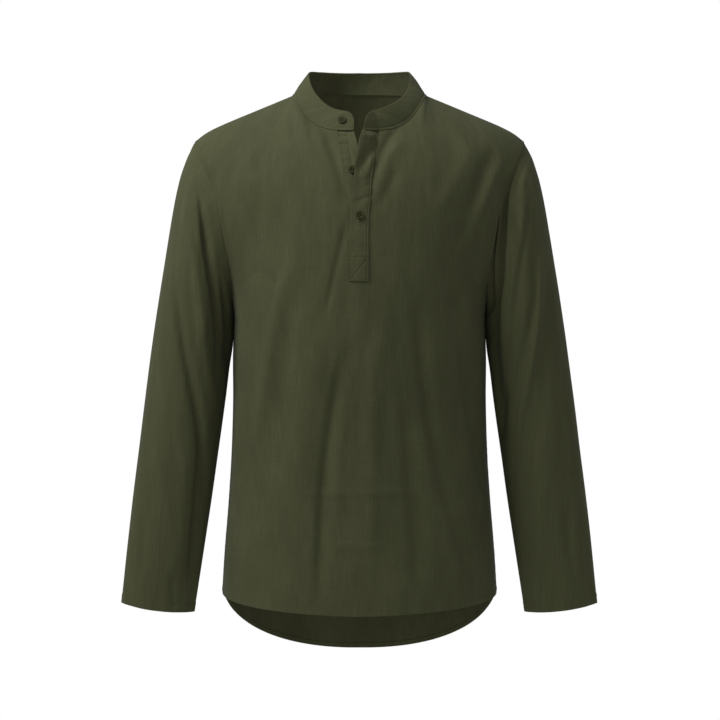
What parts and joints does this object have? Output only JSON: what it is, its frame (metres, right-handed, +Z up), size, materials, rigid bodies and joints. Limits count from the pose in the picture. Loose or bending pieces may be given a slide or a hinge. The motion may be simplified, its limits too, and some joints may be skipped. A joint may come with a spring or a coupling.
{
  "type": "henley shirt",
  "caption": "Long-sleeved henley shirt with a standing band collar, a part-open buttoned front placket and a curved hem that is longer at the back, filled out as it is worn.",
  "frame": {"origin": "midway between the two side neck points, where the wearer's shoulders carry the shirt", "axes": "+X to the wearer's left, -Y to the front, +Z up"},
  "size_m": [0.6622, 0.2646, 0.8258],
  "materials": {
    "cloth": "matte linen and cotton plain weave, dark olive, crinkled along the warp",
    "button": "satin moulded resin, dark olive brown"
  },
  "bodies": {
    "root": {"front": "cloth", "back": "cloth", "sleeve_left": "cloth", "sleeve_right": "cloth", "collar_band": "cloth", "placket_under": "cloth", "placket_upper": "cloth", "button_collar": "button", "button_middle": "button", "button_lower": "button"}
  },
  "joints": []
}
